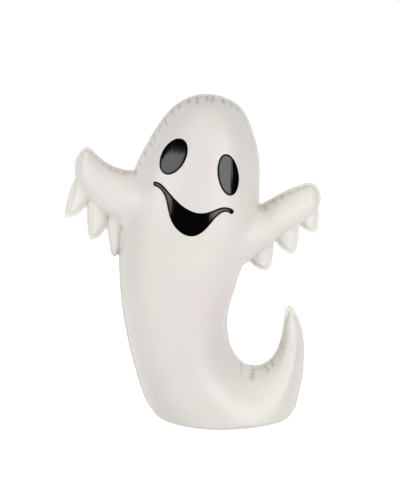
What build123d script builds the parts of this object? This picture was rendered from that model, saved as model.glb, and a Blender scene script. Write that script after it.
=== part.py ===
from build123d import *

import math
import os
from dataclasses import dataclass

# Hollow glazed ghost figure that looks blown up like a pool toy.
# Millimetres, +Z up, +X to the viewer's right, the face towards -Y.
# The origin lies on the surface that the figure stands on, under the middle of its base.
# Every casting is a pillow about the plane Y = 0, with a raised seam welt round its outline.
# Left and right are the viewer's, looking at the face.

# Whole figure, over the seam welt, and its thickness at the base
HEIGHT = 250.0
DEPTH = 92.0

# Ceramic
WALL = 5.0
FLOOR = 6.0
BASE_ROUNDING = 3.0
DRAIN_DIAMETER = 20.0
VENT_DIAMETER = 5.0

# Seam welt
WELT_REACH = 1.8
WELT_THICKNESS = 2.4

# Black glaze face
GLAZE_DEPTH = 0.8
GLAZE_PROUD = 0.2

# Felt sheet under the base
FELT_THICKNESS = 1.0
FELT_INSET = 6.0

# The tables below are drawn for a figure of this height and thickness.
# A row has the two ends of an ellipse across a casting, as (x, z), and its half thickness.
# The first end comes first when the outline is followed anticlockwise as seen from the front.
DRAWN_HEIGHT = 250.0
DRAWN_DEPTH = 92.0
SCALE = HEIGHT / DRAWN_HEIGHT
DEPTH_SCALE = DEPTH / DRAWN_DEPTH

# Body: from the crown down the torso, round under the base and up the hooked tail
CROWN = (-13, 248.4)
BODY = [
    ((-36.8, 238.8), (11.8, 238.8), 22),
    ((-57.7, 209), (24.2, 209), 35),
    ((-69.7, 180), (26, 180), 39),
    ((-76.5, 146), (24, 146), 40),
    ((-78, 112), (11.5, 112), 39),
    ((-75, 76), (2.6, 80), 38),
    ((-67.5, 38), (3.8, 57), 40),
    ((-54, 0), (10, 43.5), 43),
    ((-20, -38), (18, 36), 47),
    ((20, -48), (26, 33.9), 44),
    ((47, -26), (33.8, 36.8), 34),
    ((59.8, 18), (42.8, 46.2), 21),
    ((62.4, 46), (47.6, 60), 12.5),
    ((60.1, 68), (49.6, 74), 7),
]
TAIL_TIP = (52.3, 84)

# The hollow ends in the root of the tail, which is solid from there to its tip
HOLLOW_ROWS = 11
HOLLOW_TIP = (53, 25)

# Arms: from a root inside the body out to the hand
LEFT_ARM = [
    ((-56, 191), (-56, 142), 27),
    ((-72.5, 190.7), (-73, 150), 20),
    ((-86.5, 195.4), (-89.5, 160), 16.5),
    ((-96.5, 203), (-101.5, 170.5), 13.5),
    ((-103.1, 208.3), (-108.5, 181), 10),
]
LEFT_HAND_TIP = (-110.2, 198)
RIGHT_ARM = [
    ((12, 118), (8, 158), 25),
    ((29.5, 130.5), (29, 164.4), 19),
    ((47, 144.5), (44, 172.6), 15),
    ((60.5, 152.5), (56.5, 178.4), 12),
    ((69.2, 160), (67.4, 180.7), 9),
]
RIGHT_HAND_TIP = (72.7, 172)

# Fringe: drips that hang from each arm, each a root and a tip
LEFT_DRIPS = [
    (((-110.6, 186), (-100.4, 172.4), 7), (-118.4, 156.8)),
    (((-101, 171.2), (-87, 158.5), 7), (-99.9, 139.8)),
    (((-86.8, 159.6), (-74, 150), 7), (-82.8, 126.4)),
]
RIGHT_DRIPS = [
    (((58, 155), (70.8, 164), 6), (69.3, 145.5)),
    (((40, 143), (56.4, 153), 6), (53, 128.8)),
    (((20, 126), (36.9, 140), 6), (33.8, 116)),
]

# Face, as (x, z) in front view. An eye leans clockwise by its tilt.
LEFT_EYE = (-36.7, 208.3)
LEFT_EYE_SIZE = (17.2, 28.8)
LEFT_EYE_TILT = 32.0
RIGHT_EYE = (3.2, 195.0)
RIGHT_EYE_SIZE = (15.5, 31.4)
RIGHT_EYE_TILT = -10.0
MOUTH_UPPER = [
    (-49.3, 189.7),
    (-46.7, 189),
    (-42.8, 186),
    (-37.3, 180.1),
    (-27.2, 171.5),
    (-18.2, 168.2),
    (-9.7, 169.1),
    (-0.2, 171.7),
    (4.3, 170.7),
    (7.2, 168.6),
]
MOUTH_LOWER = [
    (4.5, 166.2),
    (0.8, 167.8),
    (-3, 166.3),
    (-11.8, 157.2),
    (-23, 150.6),
    (-36.3, 158),
    (-41.9, 174.8),
    (-43.9, 180.8),
    (-46.8, 184.5),
    (-50.7, 186.1),
]

# Steps from row to row of a casting, and from end to end of an ellipse
ROW_STEPS = 3
ARC_STEPS = 12
TOLERANCE = 0.02

FRONT_TO_BACK = Vector(0, 1, 0)


@dataclass
class Section:
    """An ellipse across a casting: its two ends in the plane Y = 0 and its half thickness."""

    first: Vector
    last: Vector
    depth: float

    @property
    def middle(self):
        return (self.first + self.last) / 2

    def turned_over(self):
        return Section(self.last, self.first, -self.depth)

    def mirrored(self, centre):
        return Section(centre * 2 - self.last, centre * 2 - self.first, self.depth)

    def drawn_in(self, amount):
        across = (self.last - self.first).normalized()
        return Section(self.first + across * amount, self.last - across * amount, self.depth - amount)

    def front_points(self):
        """Points from end to end over the front half of the ellipse."""
        half = (self.last - self.first) / 2
        deep = FRONT_TO_BACK * self.depth
        turns = [math.pi * k / ARC_STEPS for k in range(ARC_STEPS + 1)]
        return [self.middle - half * math.cos(turn) - deep * math.sin(turn) for turn in turns]


def blend(before, start, end, after, share):
    """The value that share of the way from start to end, on a smooth curve through all four."""
    leaving = (end - before) / 2
    arriving = (after - start) / 2
    near_end = 3 * share**2 - 2 * share**3
    from_start = share - 2 * share**2 + share**3
    to_end = share**3 - share**2
    return start * (1 - near_end) + end * near_end + leaving * from_start + arriving * to_end


def moved_towards(point, other, amount):
    return point + (other - point).normalized() * amount


def grown(points, closed):
    """The outline moved outwards as far as the welt reaches."""
    made = []
    for k, point in enumerate(points):
        before = points[k - 1] if closed or k > 0 else point
        after = points[(k + 1) % len(points)] if closed or k < len(points) - 1 else point
        made.append(point + FRONT_TO_BACK.cross(after - before).normalized() * WELT_REACH)
    return made


@dataclass
class Pillow:
    """A smooth form through sections. An end with a tip is round, and one without is cut flat."""

    sections: list
    first_tip: Vector
    last_tip: Vector

    def drawn_in(self, amount):
        sections = [s.drawn_in(amount) for s in self.sections]
        first = self.first_tip and moved_towards(self.first_tip, sections[0].middle, amount)
        return Pillow(sections, first, moved_towards(self.last_tip, sections[-1].middle, amount))

    def rows(self):
        """The sections, with others evenly placed between them."""
        keys = self.sections + [Section(self.last_tip, self.last_tip, 0), self.sections[-1].turned_over()]
        if self.first_tip:
            keys = [self.sections[0].turned_over(), Section(self.first_tip, self.first_tip, 0)] + keys
        else:
            keys = [keys[1].mirrored(keys[0].middle)] + keys
        made = []
        for k in range(1, len(keys) - 2):
            four = keys[k - 1 : k + 3]
            for step in range(ROW_STEPS):
                share = step / ROW_STEPS
                first = blend(*(s.first for s in four), share)
                last = blend(*(s.last for s in four), share)
                depth = blend(*(s.depth for s in four), share)
                made.append(Section(first, last, depth))
        return made + [keys[-2]]

    def front(self):
        """The front surface, whose edges lie in the plane Y = 0 except at a flat end."""
        grid = [row.front_points() for row in self.rows()]
        return Face.make_surface_from_array_of_points(grid, tol=TOLERANCE, min_deg=3, max_deg=3)

    def solid(self):
        """The whole form, with no welt."""
        front = self.front()
        faces = [front, front.mirror(Plane.XZ)]
        if not self.first_tip:
            arcs = [e for face in faces for e in face.edges() if abs((e @ 0.5).Y) > TOLERANCE]
            faces.append(Face(Wire(arcs)))
        return Solid(Shell(faces))

    def front_half(self):
        """The half of the form in front of the welt."""
        front = self.front()
        seam = [e for e in front.edges() if abs((e @ 0.5).Y) < TOLERANCE]
        faces = [front]
        if not self.first_tip:
            root = Edge.make_line(self.sections[0].first, self.sections[0].last)
            arcs = [e for e in front.edges() if abs((e @ 0.5).Y) > TOLERANCE]
            faces.append(Face(Wire([*arcs, root])))
            seam.append(root)
        faces.append(Face(Wire(seam)))
        return Pos(0, -WELT_THICKNESS / 2, 0) * Solid(Shell(faces))

    def welt_outline(self):
        """The face in the plane Y = 0 that the welt fills, out to its rim."""
        rows = self.rows()
        points = [row.first for row in rows] + [row.last for row in reversed(rows[:-1])]
        closed = self.first_tip is not None
        if closed:
            points.pop()
        outline = grown(points, closed)
        edges = [Edge.make_spline(outline, periodic=closed)]
        if not closed:
            edges.append(Edge.make_line(outline[-1], outline[0]))
        return Face(Wire(edges))


def placed(point):
    """A drawn point (x, z) as a point of the figure, in the plane Y = 0."""
    return Vector(point[0], 0, point[1]) * SCALE


def pillow(rows, first_tip, last_tip):
    """The form that rows of a table and its tips describe."""
    sections = [Section(placed(a), placed(b), depth * DEPTH_SCALE) for a, b, depth in rows]
    return Pillow(sections, first_tip and placed(first_tip), placed(last_tip))


def above(height):
    """All the space over that height."""
    return Pos(0, 0, height + 2 * HEIGHT) * Box(4 * HEIGHT, 4 * HEIGHT, 4 * HEIGHT)


def with_welt(front, outline):
    """A casting from its front half and the outline of the seam welt between that and its back half."""
    welt = extrude(outline, WELT_THICKNESS / 2, dir=FRONT_TO_BACK, both=True)
    return welt + front + mirror(front, Plane.XZ)


def body_outside():
    """The body without its hollow, flat and rounded where it stands."""
    form = pillow(BODY, CROWN, TAIL_TIP)
    front = form.front_half() & above(FELT_THICKNESS)
    foot = front.faces().sort_by(Axis.Z)[0].edges().filter_by(GeomType.LINE, reverse=True)
    front = fillet(foot, BASE_ROUNDING)
    return with_welt(front, form.welt_outline() & above(FELT_THICKNESS))


def body_hollow():
    """The hollow of the body, with the hole in its base that drained the slip."""
    form = pillow(BODY[:HOLLOW_ROWS], CROWN, HOLLOW_TIP)
    sections = [s.drawn_in(WALL) for s in form.sections]
    crown = moved_towards(form.first_tip, sections[0].middle, WALL)
    drain = Pos(0, 0, FELT_THICKNESS) * Cylinder(DRAIN_DIAMETER / 2, 4 * FLOOR)
    return (Pillow(sections, crown, form.last_tip).solid() & above(FELT_THICKNESS + FLOOR)) + drain


def felt_base():
    """The sheet that the figure stands on, with a hole where the base drains."""
    form = pillow(BODY, CROWN, TAIL_TIP).drawn_in(FELT_INSET)
    below = Pos(0, 0, FELT_THICKNESS / 2) * Box(4 * HEIGHT, 4 * HEIGHT, FELT_THICKNESS)
    return (form.solid() & below) - Cylinder(DRAIN_DIAMETER / 2, 4 * FELT_THICKNESS)


def arm(rows, hand_tip, drips):
    """A hollow arm, open at its root, with its fringe of solid drips."""
    form = pillow(rows, None, hand_tip)
    front = form.front_half()
    outline = form.welt_outline()
    for root, tip in drips:
        drip = pillow([root], None, tip)
        front += drip.front_half()
        outline += drip.welt_outline()
    return with_welt(front, outline) - form.drawn_in(WALL).solid()


def vent(rows):
    """The hole through the body's wall that lets air out of an arm in the kiln."""
    top, bottom, _ = rows[1]
    across_wall = Pos((placed(top) + placed(bottom)) / 2) * Rot(0, 90, 0)
    return across_wall * Cylinder(VENT_DIAMETER / 2, 8 * WALL)


def glaze_layer():
    """The layer that black glaze fills wherever it covers the front of the body."""
    form = pillow(BODY, CROWN, TAIL_TIP)
    return form.drawn_in(-GLAZE_PROUD).front_half() - form.drawn_in(GLAZE_DEPTH).front_half()


def glaze(layer, drawing):
    """The black glaze inside a drawing of the face."""
    return layer & extrude(Plane.XZ * drawing, DEPTH)


def drawn(point):
    """A drawn point (x, z) of the face as a point of a front view."""
    return Vector(*point) * SCALE


def eye(centre, size, tilt):
    radii = drawn(size) / 2
    return Pos(drawn(centre)) * Rot(0, 0, -tilt) * Ellipse(radii.X, radii.Y)


def mouth():
    """The outline of the mouth, with a round cap at each corner as wide as the mouth is there."""
    upper = [drawn(point) for point in MOUTH_UPPER]
    lower = [drawn(point) for point in MOUTH_LOWER]
    corners = [(lower[-1], upper[0]), (upper[-1], lower[0])]
    drawing = make_face([Spline(*upper), Spline(*lower), *(Line(*ends) for ends in corners)])
    for start, end in corners:
        drawing += Pos((start + end) / 2) * Circle((end - start).length / 2)
    return drawing


def build():
    outside = body_outside()
    layer = glaze_layer()
    parts = {
        "left_arm": arm(LEFT_ARM, LEFT_HAND_TIP, LEFT_DRIPS) - outside,
        "right_arm": arm(RIGHT_ARM, RIGHT_HAND_TIP, RIGHT_DRIPS) - outside,
        "left_eye": glaze(layer, eye(LEFT_EYE, LEFT_EYE_SIZE, LEFT_EYE_TILT)),
        "right_eye": glaze(layer, eye(RIGHT_EYE, RIGHT_EYE_SIZE, RIGHT_EYE_TILT)),
        "mouth": glaze(layer, mouth()),
    }
    parts["body"] = (
        outside
        - body_hollow()
        - vent(LEFT_ARM)
        - vent(RIGHT_ARM)
        - parts["left_eye"]
        - parts["right_eye"]
        - parts["mouth"]
    )
    parts["felt_base"] = felt_base()
    return parts


if __name__ == "__main__":
    os.makedirs("parts", exist_ok=True)
    for name, part in build().items():
        part.label = name
        export_step(part, f"parts/{name}.step")
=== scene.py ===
import math

import bmesh
import bpy
import numpy as np
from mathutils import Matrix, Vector
from mathutils.bvhtree import BVHTree
from mathutils.kdtree import KDTree


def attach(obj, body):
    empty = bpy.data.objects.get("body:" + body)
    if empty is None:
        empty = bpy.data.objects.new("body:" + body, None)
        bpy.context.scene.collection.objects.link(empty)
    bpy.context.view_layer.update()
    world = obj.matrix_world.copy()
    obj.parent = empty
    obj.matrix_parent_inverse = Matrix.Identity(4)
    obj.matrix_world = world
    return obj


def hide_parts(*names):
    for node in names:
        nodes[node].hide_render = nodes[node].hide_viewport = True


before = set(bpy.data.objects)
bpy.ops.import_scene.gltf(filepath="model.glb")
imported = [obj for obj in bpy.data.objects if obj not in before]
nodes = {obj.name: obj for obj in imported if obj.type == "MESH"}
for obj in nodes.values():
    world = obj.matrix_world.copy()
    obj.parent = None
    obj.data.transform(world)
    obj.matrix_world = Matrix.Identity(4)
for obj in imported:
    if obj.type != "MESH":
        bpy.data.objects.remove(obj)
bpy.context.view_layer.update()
scene = bpy.context.scene

# Metres. The face looks towards -Y, and the seam of every casting lies in the plane Y = 0.
CASTINGS = ("body", "left_arm", "right_arm")
FACE = ("left_eye", "right_eye", "mouth")
FIGURE_MIDDLE = -0.017

# The skin is softened all over, and more where an arm is luted to the body, clear of the drips.
SKIN_VOXEL = 0.0007
SKIN_ROUNDS = 6
FACE_FILL_SINK = 0.00025
SADDLE_REACH = 0.016
SADDLE_ROUNDS = 280
SADDLE_CLEAR = (0.006, 0.012)

# The black glaze stands a little proud, and is dull along its thin edge.
GLAZE_VOXEL = 0.0003
GLAZE_ROUNDS = 8
GLAZE_EDGE = 0.0021
GLAZE_LIFT = 0.00012

# The root of the welt, and the crease along it. Folds end this far from the plane of the seam.
WELT_ROOT = 0.0018
WELT_SIDES = 0.036
GUTTER_MIDDLE = WELT_ROOT + 0.0006
GUTTER_END = WELT_ROOT + 0.0045
GUTTER_DEPTH = 0.00045
FOOT_HEIGHTS = (0.004, 0.016)

# A thin casting lies flat beside the welt, to this width and half thickness, and rises from there.
RIM_THICKNESS = (0.006, 0.010)
RIM_WIDTH = 0.0026
RIM_HALF = 0.001
RIM_SLOPE = 1.8

# The walls of the drain, through which the outer outline runs on into the hollow one.
DRAIN_SIDE = 0.012
DRAIN_HEIGHTS = (0.002, 0.006)

# Folds beside the welt of the thickest casting. Thinner ones have them closer, shorter and shallower.
THICK = 0.025
THICK_REACH = 0.009
PUCKER_SEED = 11
PUCKER_GAP = 0.0085
PUCKER_WIDTH = (0.0011, 0.0018)
PUCKER_LENGTH = (0.017, 0.025)
PUCKER_DEPTH = (0.0005, 0.0011)
PUCKER_SLANT = 0.15
# The folds are deepest where the outline faces this way.
PUCKER_SIDE = (-0.45, 0.9)

# Two soft tucks follow the inner edge of the hook between these heights.
TUCK_INSETS = (0.0065, 0.0105)
TUCK_WIDTH = 0.0016
TUCK_DEPTH = 0.0006
TUCK_HEIGHTS = (0.05, 0.07, 0.115, 0.14)
TUCK_SIDE = 0.04

# The painted shade and brown stain start this far along a fold. Castings this thin are painted paler, as
# painted light, this far in from the welt.
SHADE_AND_STAIN_START = (0.004, 0.010)
CREASE_WIDTH = 0.001
PALE_THICKNESS = (0.007, 0.015)
PALE_INSET = (0.006, 0.011)
PALE_ROUNDS = 30

PINK_WHITE = (0.797, 0.741, 0.713)
CREAM_WHITE = (0.785, 0.768, 0.715)
# Painted light: the paler white of thin castings beside the welt.
PAINTED_LIGHT_WHITE = (0.87, 0.84, 0.79)
# Painted shade with some brown stain: the colour that the folds and the crease are darkened towards.
SHADE_AND_STAIN_BROWN = (0.36, 0.31, 0.25)
DEEP_BLACK = (0.0006, 0.0006, 0.0006)
BRUSHED_BLACK = (0.002, 0.002, 0.002)
FELT_DARK = (0.23, 0.215, 0.2)
FELT_PALE = (0.46, 0.44, 0.41)
CERAMIC_IOR = 1.5

FLOOR_SIDE = 0.6
FLOOR_FRONT = -0.48
FLOOR_BACK = 8.0
FLOOR_GREY = 0.8
LIGHT_TARGET = Vector((FIGURE_MIDDLE, 0, 0.19))
CAMERA_PLACE = (-0.017418, -0.970296, 0.376312)
CAMERA_TARGET = (-0.01742, 0, 0.13439)
CAMERA_LENS = 96.0
CAMERA_SENSOR = 36.0


def between(start, end, share):
    return start + (end - start) * share


def smoothstep(low, high, value):
    share = np.clip((value - low) / (high - low), 0, 1)
    return share * share * (3 - 2 * share)


def falling(low, high, value):
    return 1 - smoothstep(low, high, value)


def rows_of(items, name, width, kind=float):
    """What each item of a mesh holds under a name, as one row for each."""
    flat = np.empty(len(items) * width, kind)
    items.foreach_get(name, flat)
    return flat.reshape(-1, width)


def points_of(mesh):
    return rows_of(mesh.vertices, "co", 3)


def normals_of(mesh):
    return rows_of(mesh.vertex_normals, "vector", 3)


def edges_of(mesh):
    return rows_of(mesh.edges, "vertices", 2, np.int32)


def move_points(mesh, points):
    mesh.vertices.foreach_set("co", points.astype(np.float32).ravel())
    mesh.update()


def add_shade(mesh, name, values):
    """Keep one value for each point, for a material to read."""
    mesh.attributes.new(name, "FLOAT", "POINT").data.foreach_set("value", values.astype(np.float32))


def link(obj):
    scene.collection.objects.link(obj)
    return obj


def dress(obj, material):
    obj.data.materials.clear()
    obj.data.materials.append(material)


def remeshed(name, bm, voxel):
    """One closed mesh of even quads round everything in bm."""
    joined = bpy.data.meshes.new(name + ".joined")
    bm.to_mesh(joined)
    bm.free()
    obj = link(bpy.data.objects.new(name + ".joined", joined))
    even = obj.modifiers.new("even", "REMESH")
    even.mode = "VOXEL"
    even.voxel_size = voxel
    even.use_smooth_shade = True
    mesh = bpy.data.meshes.new_from_object(obj.evaluated_get(bpy.context.evaluated_depsgraph_get()))
    bpy.data.objects.remove(obj)
    bpy.data.meshes.remove(joined)
    mesh.name = name
    return mesh


def smoothed(values, edges, rounds, share, back=None):
    """Each round moves rows that share of the way to their neighbours' mean, and then by the share back."""
    counts = np.maximum(np.bincount(edges.ravel(), minlength=len(values)), 1)[:, None]
    a, b = edges.T
    steps = [share] if back is None else [share, back]
    made = values.copy()
    for step in steps * rounds:
        total = np.empty_like(made)
        for k in range(made.shape[1]):
            total[:, k] = np.bincount(a, made[b, k], len(made)) + np.bincount(b, made[a, k], len(made))
        made += step[:, None] * (total / counts - made)
    return made


def distances(points, name):
    """How far each point is from the surface of a CAD node."""
    mesh = nodes[name].data
    tree = BVHTree.FromPolygons([v.co for v in mesh.vertices], [p.vertices[:] for p in mesh.polygons])
    return np.array([tree.find_nearest(p)[3] for p in points.tolist()])


def nearest(line, points):
    """The index of the point of the line nearest to each point, and how far away it is."""
    tree = KDTree(len(line))
    for k, p in enumerate(line.tolist()):
        tree.insert(p, k)
    tree.balance()
    found = [tree.find(p)[1:] for p in points.tolist()]
    return np.array([f[0] for f in found]), np.array([f[1] for f in found])


def joined_castings():
    """The three castings as one mesh, not yet softened, with the beds of the black glaze filled flush."""
    bm = bmesh.new()
    for name in CASTINGS:
        bm.from_mesh(nodes[name].data)
    first = len(bm.verts)
    for name in FACE:
        bm.from_mesh(nodes[name].data)
    bm.verts.ensure_lookup_table()
    for v in bm.verts[first:]:
        v.co.y += FACE_FILL_SINK
    return remeshed("ceramic", bm, SKIN_VOXEL)


def plane_cut(bm):
    """Cut along the plane Y = 0, and give each point of the cut with the points beside it."""
    everything = bm.verts[:] + bm.edges[:] + bm.faces[:]
    cut = bmesh.ops.bisect_plane(bm, geom=everything, dist=1e-7, plane_co=(0, 0, 0), plane_no=(0, 1, 0))
    beside = {}
    for item in cut["geom_cut"]:
        if isinstance(item, bmesh.types.BMEdge):
            a, b = item.verts
            beside.setdefault(a, []).append(b)
            beside.setdefault(b, []).append(a)
    return beside


def walk(beside, start, left):
    """The points from start on, each beside the one before, taken out of those that are left."""
    line = []
    onward = [start]
    while onward:
        line.append(onward[0])
        left.discard(onward[0])
        onward = [v for v in beside[line[-1]] if v in left]
    return line


def seam_line(mesh):
    """The outer outline in the plane Y = 0, as points in order. The hollow, past the drain, is left out."""
    bm = bmesh.new()
    bm.from_mesh(mesh)
    beside = plane_cut(bm)
    left = set(beside)
    lines = []
    while left:
        highest_left = max(left, key=lambda v: (v.co.z, v.co.x))
        lines.append(walk(beside, highest_left, left))
    points = np.array([v.co[:] for v in max(lines, key=len)])
    bm.free()
    x, _, z = points.T
    low, high = DRAIN_HEIGHTS
    drain = np.flatnonzero((np.abs(x) < DRAIN_SIDE) & (z > low) & (z < high))
    return np.concatenate([points[: drain[0]], points[drain[-1] + 1 :]])


def thickness(points, line):
    """Half the thickness of the casting beside each point of the seam, from one in nine of its points."""
    some = points[::9]
    made = []
    for x, _, z in line:
        beside = (some[:, 0] - x) ** 2 + (some[:, 2] - z) ** 2 < THICK_REACH**2
        made.append(np.abs(some[beside, 1]).max(initial=0.0))
    return np.array(made)


class Seam:
    """The seam, and the points near it: each one's place along it, how far away it is, and how far inside."""

    def __init__(self, line, points):
        self.line = line
        steps = np.linalg.norm(np.roll(line, -1, axis=0) - line, axis=1)
        self.along = np.concatenate([[0], np.cumsum(steps)[:-1]])
        self.length = steps.sum()
        self.thick = thickness(points, line)
        self.size = np.minimum(self.thick / THICK, 1)
        self.near = np.flatnonzero(np.abs(points[:, 1]) < WELT_SIDES)
        beside = points[self.near]
        self.sample, self.away = nearest(line, beside)
        beside[:, 1] = 0
        self.inset_sample, self.inset = nearest(line, beside)
        self.above_floor = smoothstep(*FOOT_HEIGHTS, line[self.sample, 2])

    def outward(self):
        """Which way the outline faces, in the plane of the seam, along the line."""
        x, _, z = self.line.T
        turn = np.sign(np.sum(x * np.roll(z, -1) - np.roll(x, -1) * z))
        along = np.roll(self.line, -6, axis=0) - np.roll(self.line, 6, axis=0)
        along /= np.linalg.norm(along, axis=1)[:, None]
        return turn * np.stack([along[:, 2], -along[:, 0]], axis=1)

    def gathers(self):
        """Where along the seam the folds are, and the width, reach, depth, share of painted shade and stain,
        and slant of each.
        """
        chance = np.random.default_rng(PUCKER_SEED)
        places = [0.0]
        while places[-1] < self.length - PUCKER_GAP:
            size = self.size[np.searchsorted(self.along, places[-1]) % len(self.size)]
            places.append(places[-1] + PUCKER_GAP * between(0.4, 1, size) * chance.uniform(0.7, 1.3))
        count = len(places)
        start = np.searchsorted(self.along, places) % len(self.along)
        size = self.size[start]
        facing = between(0.02, 1, smoothstep(0.0, 0.9, self.outward()[start] @ PUCKER_SIDE))
        width = chance.uniform(*PUCKER_WIDTH, count) * between(0.6, 1, size)
        reach = chance.uniform(*PUCKER_LENGTH, count) * between(0.2, 1, size**2)
        depth = chance.uniform(*PUCKER_DEPTH, count) * smoothstep(0.25, 1.0, size) * facing
        tone = (depth / PUCKER_DEPTH[1]) ** 0.7 * between(1.5, 0.9, size)
        slant = chance.uniform(-PUCKER_SLANT, PUCKER_SLANT, count)
        return np.array(places), width, reach, depth, tone, slant

    def folds(self):
        """How deep each near point lies in the folds that the welt gathers, and its share of their painted
        shade and stain.
        """
        places, width, reach, depth, tone, slant = self.gathers()
        at = self.along[self.sample]
        after = np.searchsorted(places, at)
        half = self.length / 2
        root = smoothstep(0.5 * WELT_ROOT, WELT_ROOT + 0.001, self.away)
        fold = np.zeros(len(at))
        line = np.zeros(len(at))
        for side in (-2, -1, 0, 1):
            k = (after + side) % len(places)
            across = (at - places[k] - slant[k] * self.away + half) % self.length - half
            spread = width[k] + 0.03 * self.away
            fade = root * falling(0.65, 1, self.away / reach[k])
            fold += depth[k] * fade * np.exp(-((np.abs(across) / spread) ** 1.3))
            line += tone[k] * fade * np.exp(-((across / (0.7 * spread)) ** 2))
        return fold * self.above_floor, line * self.above_floor

    def flattened(self, points):
        """How far each near point comes in towards the seam's plane where a thin casting has its flat rim."""
        thin = falling(*RIM_THICKNESS, self.thick[self.inset_sample])
        top = RIM_HALF + RIM_SLOPE * np.maximum(self.inset - RIM_WIDTH, 0)
        return thin * np.maximum(np.abs(points[self.near, 1]) - top, 0)

    def gutter(self):
        """How deep each near point lies in the crease along the root of the welt."""
        shape = smoothstep(0.6 * WELT_ROOT, GUTTER_MIDDLE, self.away)
        shape *= falling(GUTTER_MIDDLE, GUTTER_END, self.away)
        return GUTTER_DEPTH * shape * self.above_floor

    def tucks(self):
        """How deep each near point lies in the soft tucks along the inner edge of the hook."""
        low, full, less, high = TUCK_HEIGHTS
        x, _, z = self.line[self.inset_sample].T
        share = smoothstep(low, full, z) * falling(less, high, z)
        share *= smoothstep(0.4, 0.8, self.outward()[self.inset_sample, 0])
        share *= x < TUCK_SIDE
        waves = [np.exp(-(((self.inset - inset) / TUCK_WIDTH) ** 2)) for inset in TUCK_INSETS]
        return TUCK_DEPTH * share * sum(waves)

    def shade_and_stain(self, line, upward):
        """The share of painted shade and brown stain at each near point: along the folds, and in the crease
        where it faces up.
        """
        gauge = np.maximum(self.size[self.sample], 0.2)
        inner = between(0.3, 1, smoothstep(*SHADE_AND_STAIN_START, self.away / gauge))
        crease = np.exp(-(((self.away - GUTTER_MIDDLE) / CREASE_WIDTH) ** 2))
        in_folds = line * (inner + 0.4 * upward)
        in_crease = 0.6 * crease * upward * np.minimum(1, 0.5 + 2 * line)
        return np.clip(in_folds + in_crease, 0, 1)

    def painted_paleness(self):
        """How much paler each near point is painted where its casting is thin, as painted light."""
        return falling(*PALE_THICKNESS, self.thick[self.inset_sample]) * falling(*PALE_INSET, self.inset)


def luted(points, edges, apart):
    """The points of the skin, with each arm flowing into the body."""
    from_body, *from_arms = apart
    for from_arm in from_arms:
        share = 0.5 * falling(0.4 * SADDLE_REACH, SADDLE_REACH, np.maximum(from_body, from_arm))
        share *= smoothstep(*SADDLE_CLEAR, np.abs(points[:, 1]))
        used = (share > 0)[edges].any(axis=1)
        points = smoothed(points, edges[used], SADDLE_ROUNDS, share)
    return points


def skin():
    """The glazed surface of the castings, how far its points are from each of them, and its shades."""
    mesh = joined_castings()
    edges = edges_of(mesh)
    points = points_of(mesh)
    half = np.full(len(points), 0.5)
    points = smoothed(points, edges, SKIN_ROUNDS, half, -1.06 * half)
    apart = [distances(points, name) for name in CASTINGS]
    points = luted(points, edges, apart)
    move_points(mesh, points)
    seam = Seam(seam_line(mesh), points)
    near = seam.near
    points[near, 1] -= np.sign(points[near, 1]) * seam.flattened(points)
    move_points(mesh, points)
    normals = normals_of(mesh)[near]
    fold, line = seam.folds()
    points[near] -= normals * (fold + seam.gutter() + seam.tucks())[:, None]
    points = smoothed(points, edges, 2, 0.7 * half)
    move_points(mesh, points)
    # Painted shade, with some brown stain, along the folds and in the crease beside the welt.
    shade_and_stain = np.zeros(len(points))
    shade_and_stain[near] = seam.shade_and_stain(line, smoothstep(0.0, 0.7, normals[:, 2]))
    # Painted light: thin castings are painted paler near the welt.
    pale = np.zeros((len(points), 1))
    pale[near, 0] = seam.painted_paleness()
    pale = smoothed(pale, edges, PALE_ROUNDS, half)[:, 0]
    return mesh, np.array(apart), {"seam_shade_and_stain": shade_and_stain, "pale_painted_light": pale}


def close_rims(bm):
    """Close the ring where a casting is luted to the next: its outer and its inner edge are bridged."""
    for side in (-1, 1):
        rims = [e for e in bm.edges if e.is_boundary and side * (e.verts[0].co.x - FIGURE_MIDDLE) > 0]
        if rims:
            bmesh.ops.bridge_loops(bm, edges=rims)


def casting_mesh(name, points, quads):
    """A closed mesh of some of the skin's quads."""
    made = bpy.data.meshes.new(name)
    made.from_pydata(points.tolist(), [], quads.tolist())
    bm = bmesh.new()
    bm.from_mesh(made)
    close_rims(bm)
    bm.to_mesh(made)
    bm.free()
    made.polygons.foreach_set("use_smooth", np.ones(len(made.polygons), bool))
    return made


def split_skin(mesh, apart, shades):
    """Each casting's own part of the skin, closed where it is luted to the next."""
    points = points_of(mesh)
    normals = normals_of(mesh)
    quads = rows_of(mesh.loops, "vertex_index", 1, np.int32).reshape(-1, 4)
    near = smoothed(apart.T.copy(), edges_of(mesh), 12, np.full(len(points), 0.5)).T
    owner = near[:, quads].mean(axis=2).argmin(axis=0)
    made = {}
    for k, name in enumerate(CASTINGS):
        used, corners = np.unique(quads[owner == k], return_inverse=True)
        made[name] = casting_mesh(name + "_casting", points[used], corners.reshape(-1, 4))
        made[name].normals_split_custom_set_from_vertices(normals[used].tolist())
        for shade, values in shades.items():
            add_shade(made[name], shade, values[used])
    return made


def glaze_mesh(name):
    """A patch of black glaze. It stands a little proud of the white, and thins to its edge."""
    bm = bmesh.new()
    bm.from_mesh(nodes[name].data)
    mesh = remeshed(name + "_glaze", bm, GLAZE_VOXEL)
    points = points_of(mesh)
    edge = points[np.abs(normals_of(mesh)[:, 1]) < 0.4]
    _, inward = nearest(edge, points)
    points = smoothed(points, edges_of(mesh), GLAZE_ROUNDS, np.full(len(points), 0.5))
    points[:, 1] -= GLAZE_LIFT
    move_points(mesh, points)
    add_shade(mesh, "inward", np.minimum(inward / GLAZE_EDGE, 1))
    return mesh


def node(tree, kind, **values):
    """A new node, with values for its sockets and its settings."""
    made = tree.nodes.new(kind)
    for name, value in values.items():
        if name in made.inputs:
            made.inputs[name].default_value = value
        else:
            setattr(made, name, value)
    return made


def noise(tree, where, **values):
    made = node(tree, "ShaderNodeTexNoise", **values)
    tree.links.new(where, made.inputs["Vector"])
    return made.outputs["Fac"]


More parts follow.
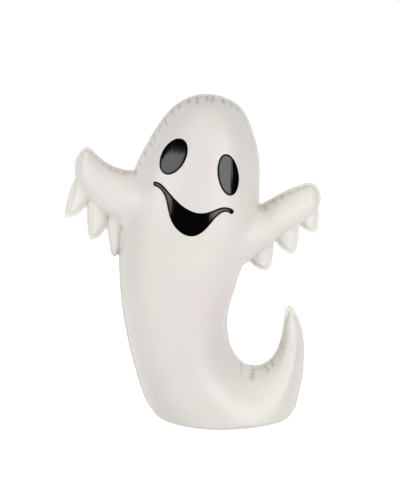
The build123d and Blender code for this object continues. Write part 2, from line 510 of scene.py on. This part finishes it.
def attribute(tree, name):
    return node(tree, "ShaderNodeAttribute", attribute_name=name).outputs["Fac"]


def ramp(tree, source, stops):
    """A colour that runs through the stops."""
    made = tree.nodes.new("ShaderNodeValToRGB")
    for element, (at, colour) in zip(made.color_ramp.elements, stops):
        element.position = at
        element.color = (*colour, 1)
    tree.links.new(source, made.inputs["Fac"])
    return made.outputs["Color"]


def mixed(tree, share, colour, other):
    """The colour of a socket, and a share of another one."""
    made = node(tree, "ShaderNodeMix", data_type="RGBA", blend_type="MIX")
    tree.links.new(share, made.inputs["Factor"])
    tree.links.new(colour, made.inputs["A"])
    made.inputs["B"].default_value = (*other, 1)
    return made.outputs["Result"]


def ranged(tree, source, span, result, kind="LINEAR"):
    """A value that goes through the range of the result as the source goes through its span."""
    made = node(tree, "ShaderNodeMapRange", interpolation_type=kind)
    for name, value in zip(("From Min", "From Max", "To Min", "To Max"), (*span, *result)):
        made.inputs[name].default_value = value
    tree.links.new(source, made.inputs["Value"])
    return made.outputs["Result"]


def times(tree, source, factor):
    """A socket's value times a number or another socket's value."""
    made = node(tree, "ShaderNodeMath", operation="MULTIPLY")
    tree.links.new(source, made.inputs[0])
    if isinstance(factor, float):
        made.inputs[1].default_value = factor
    else:
        tree.links.new(factor, made.inputs[1])
    return made.outputs[0]


def highest(tree, values):
    """The greatest of some sockets' values."""
    top = values[0]
    for value in values[1:]:
        made = node(tree, "ShaderNodeMath", operation="MAXIMUM")
        tree.links.new(top, made.inputs[0])
        tree.links.new(value, made.inputs[1])
        top = made.outputs[0]
    return top


def bump(tree, shader, height, strength, distance):
    made = node(tree, "ShaderNodeBump", Strength=strength, Distance=distance)
    tree.links.new(height, made.inputs["Height"])
    tree.links.new(made.outputs["Normal"], shader.inputs["Normal"])


def new_material(name):
    """A material, its nodes, its shader, and the place of each point on the object."""
    made = bpy.data.materials.new(name)
    made.use_nodes = True
    tree = made.node_tree
    where = tree.nodes.new("ShaderNodeTexCoord").outputs["Object"]
    return made, tree, tree.nodes["Principled BSDF"], where


def white_glaze():
    """White with faint pink and cream clouds, with painted light making it paler where it is thin, and with
    painted shade and brown stain where it lies in folds.
    """
    made, tree, shader, where = new_material("white_glaze")
    clouds = noise(tree, where, Scale=14.0, Detail=3.0, Roughness=0.5)
    colour = ramp(tree, clouds, [(0.35, PINK_WHITE), (0.65, CREAM_WHITE)])
    # Painted light makes thin castings paler near the welt.
    colour = mixed(tree, attribute(tree, "pale_painted_light"), colour, PAINTED_LIGHT_WHITE)
    # Painted shade, with some brown stain, darkens the folds and the crease.
    colour = mixed(tree, times(tree, attribute(tree, "seam_shade_and_stain"), 0.5), colour, SHADE_AND_STAIN_BROWN)
    tree.links.new(colour, shader.inputs["Base Color"])
    speckle = noise(tree, where, Scale=420.0, Detail=2.0)
    tree.links.new(ranged(tree, speckle, (0, 1), (0.32, 0.38)), shader.inputs["Roughness"])
    bump(tree, shader, noise(tree, where, Scale=110.0, Detail=1.0), 0.12, 0.0003)
    shader.inputs["IOR"].default_value = CERAMIC_IOR
    return made


def black_glaze():
    """Glossy black with upright brush marks, and dull along its thin edge."""
    made, tree, shader, where = new_material("black_glaze")
    upright = node(tree, "ShaderNodeMapping", Scale=(900, 200, 60))
    tree.links.new(where, upright.inputs["Vector"])
    brush = noise(tree, upright.outputs["Vector"], Scale=1.0, Detail=2.0)
    colour = ramp(tree, brush, [(0.3, DEEP_BLACK), (0.75, BRUSHED_BLACK)])
    tree.links.new(colour, shader.inputs["Base Color"])
    tree.links.new(ranged(tree, brush, (0, 1), (0.07, 0.13)), shader.inputs["Roughness"])
    level = ranged(tree, attribute(tree, "inward"), (0.35, 1.0), (0.0, 0.5), "SMOOTHSTEP")
    tree.links.new(level, shader.inputs["Specular IOR Level"])
    bump(tree, shader, brush, 0.5, 0.00015)
    shader.inputs["IOR"].default_value = CERAMIC_IOR
    return made


def felt():
    """Matted fibres of several greys."""
    made, tree, shader, where = new_material("felt")
    fibre = noise(tree, where, Scale=900.0, Detail=6.0, Roughness=0.7)
    colour = ramp(tree, fibre, [(0.25, FELT_DARK), (0.75, FELT_PALE)])
    tree.links.new(colour, shader.inputs["Base Color"])
    bump(tree, shader, fibre, 0.6, 0.0004)
    shader.inputs["Roughness"].default_value = 0.95
    shader.inputs["Sheen Weight"].default_value = 0.4
    return made


def white_floor():
    """Matt, and white to the camera and in reflections."""
    made = bpy.data.materials.new("white_floor")
    made.use_nodes = True
    tree = made.node_tree
    tree.nodes.clear()
    matt = node(tree, "ShaderNodeBsdfDiffuse", Color=(FLOOR_GREY, FLOOR_GREY, FLOOR_GREY, 1))
    glow = tree.nodes.new("ShaderNodeEmission")
    rays = tree.nodes.new("ShaderNodeLightPath").outputs
    seen = highest(tree, [rays["Is Camera Ray"], rays["Is Glossy Ray"], rays["Is Transmission Ray"]])
    tree.links.new(times(tree, seen, FLOOR_GREY), glow.inputs["Strength"])
    both = tree.nodes.new("ShaderNodeAddShader")
    tree.links.new(matt.outputs[0], both.inputs[0])
    tree.links.new(glow.outputs[0], both.inputs[1])
    out = tree.nodes.new("ShaderNodeOutputMaterial")
    tree.links.new(both.outputs[0], out.inputs["Surface"])
    return made


def floor():
    mesh = bpy.data.meshes.new("floor")
    left, right = -FLOOR_SIDE, FLOOR_SIDE
    corners = [(left, FLOOR_FRONT, 0), (right, FLOOR_FRONT, 0), (right, FLOOR_BACK, 0), (left, FLOOR_BACK, 0)]
    mesh.from_pydata(corners, [], [(0, 1, 2, 3)])
    obj = link(bpy.data.objects.new("floor", mesh))
    dress(obj, white_floor())


def surroundings():
    """White to the camera and, behind the figure, in reflections. It is dim in front and pale overhead."""
    scene.world = bpy.data.worlds.new("studio")
    scene.world.use_nodes = True
    tree = scene.world.node_tree
    tree.nodes.clear()
    where = tree.nodes.new("ShaderNodeTexCoord").outputs["Generated"]
    split = tree.nodes.new("ShaderNodeSeparateXYZ")
    tree.links.new(where, split.inputs[0])
    back, up = split.outputs["Y"], split.outputs["Z"]
    behind = ranged(tree, back, (0.0, 0.5), (0.015, 0.4), "SMOOTHSTEP")
    overhead = ranged(tree, up, (0.58, 0.84), (0.0, 0.8), "SMOOTHSTEP")
    room = node(tree, "ShaderNodeBackground", Color=(1, 1, 1, 1))
    tree.links.new(highest(tree, [behind, overhead]), room.inputs["Strength"])
    white_back = node(tree, "ShaderNodeBackground", Color=(1, 1, 1, 1), Strength=1.0)
    rays = tree.nodes.new("ShaderNodeLightPath").outputs
    mirrored = highest(tree, [rays["Is Glossy Ray"], rays["Is Transmission Ray"]])
    mirrored = times(tree, mirrored, ranged(tree, back, (0.0, 0.5), (0.0, 1.0), "SMOOTHSTEP"))
    mix = tree.nodes.new("ShaderNodeMixShader")
    tree.links.new(highest(tree, [rays["Is Camera Ray"], mirrored]), mix.inputs[0])
    tree.links.new(room.outputs[0], mix.inputs[1])
    tree.links.new(white_back.outputs[0], mix.inputs[2])
    out = tree.nodes.new("ShaderNodeOutputWorld")
    tree.links.new(mix.outputs[0], out.inputs["Surface"])


def look_at(obj, target):
    obj.rotation_euler = (Vector(target) - obj.location).to_track_quat("-Z", "Y").to_euler()


def softbox(name, turn, rise, distance, size, power):
    """A soft light, turned round the figure from the camera's side and raised, both in degrees."""
    lamp = bpy.data.lights.new(name, "AREA")
    lamp.shape = "RECTANGLE"
    lamp.size, lamp.size_y = size
    lamp.energy = power
    obj = link(bpy.data.objects.new(name, lamp))
    turn = math.radians(turn)
    rise = math.radians(rise)
    away = Vector((math.sin(turn) * math.cos(rise), -math.cos(turn) * math.cos(rise), math.sin(rise)))
    obj.location = LIGHT_TARGET + away * distance
    look_at(obj, LIGHT_TARGET)


def photo_camera():
    """The camera at the photograph's view."""
    made = link(bpy.data.objects.new("camera", bpy.data.cameras.new("camera")))
    made.data.lens = CAMERA_LENS
    made.data.sensor_width = CAMERA_SENSOR
    made.location = CAMERA_PLACE
    look_at(made, CAMERA_TARGET)
    return made


white = white_glaze()
for name, mesh in split_skin(*skin()).items():
    piece = link(bpy.data.objects.new(name + "_casting", mesh))
    dress(piece, white)
    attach(piece, "root")
    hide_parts(name)

black = black_glaze()
for name in FACE:
    piece = link(bpy.data.objects.new(name + "_glaze", glaze_mesh(name)))
    dress(piece, black)
    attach(piece, "root")
    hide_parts(name)

dress(nodes["felt_base"], felt())

floor()
surroundings()
softbox("softbox_left", turn=-52, rise=10, distance=0.45, size=(0.328, 0.3), power=0.96)
softbox("softbox_right", turn=41, rise=6, distance=0.45, size=(0.241, 0.35), power=1.05)
softbox("fill", turn=0, rise=34, distance=0.6, size=(0.43, 0.26), power=0.4)
scene.camera = photo_camera()
scene.view_settings.view_transform = "Standard"

bpy.context.view_layer.update()
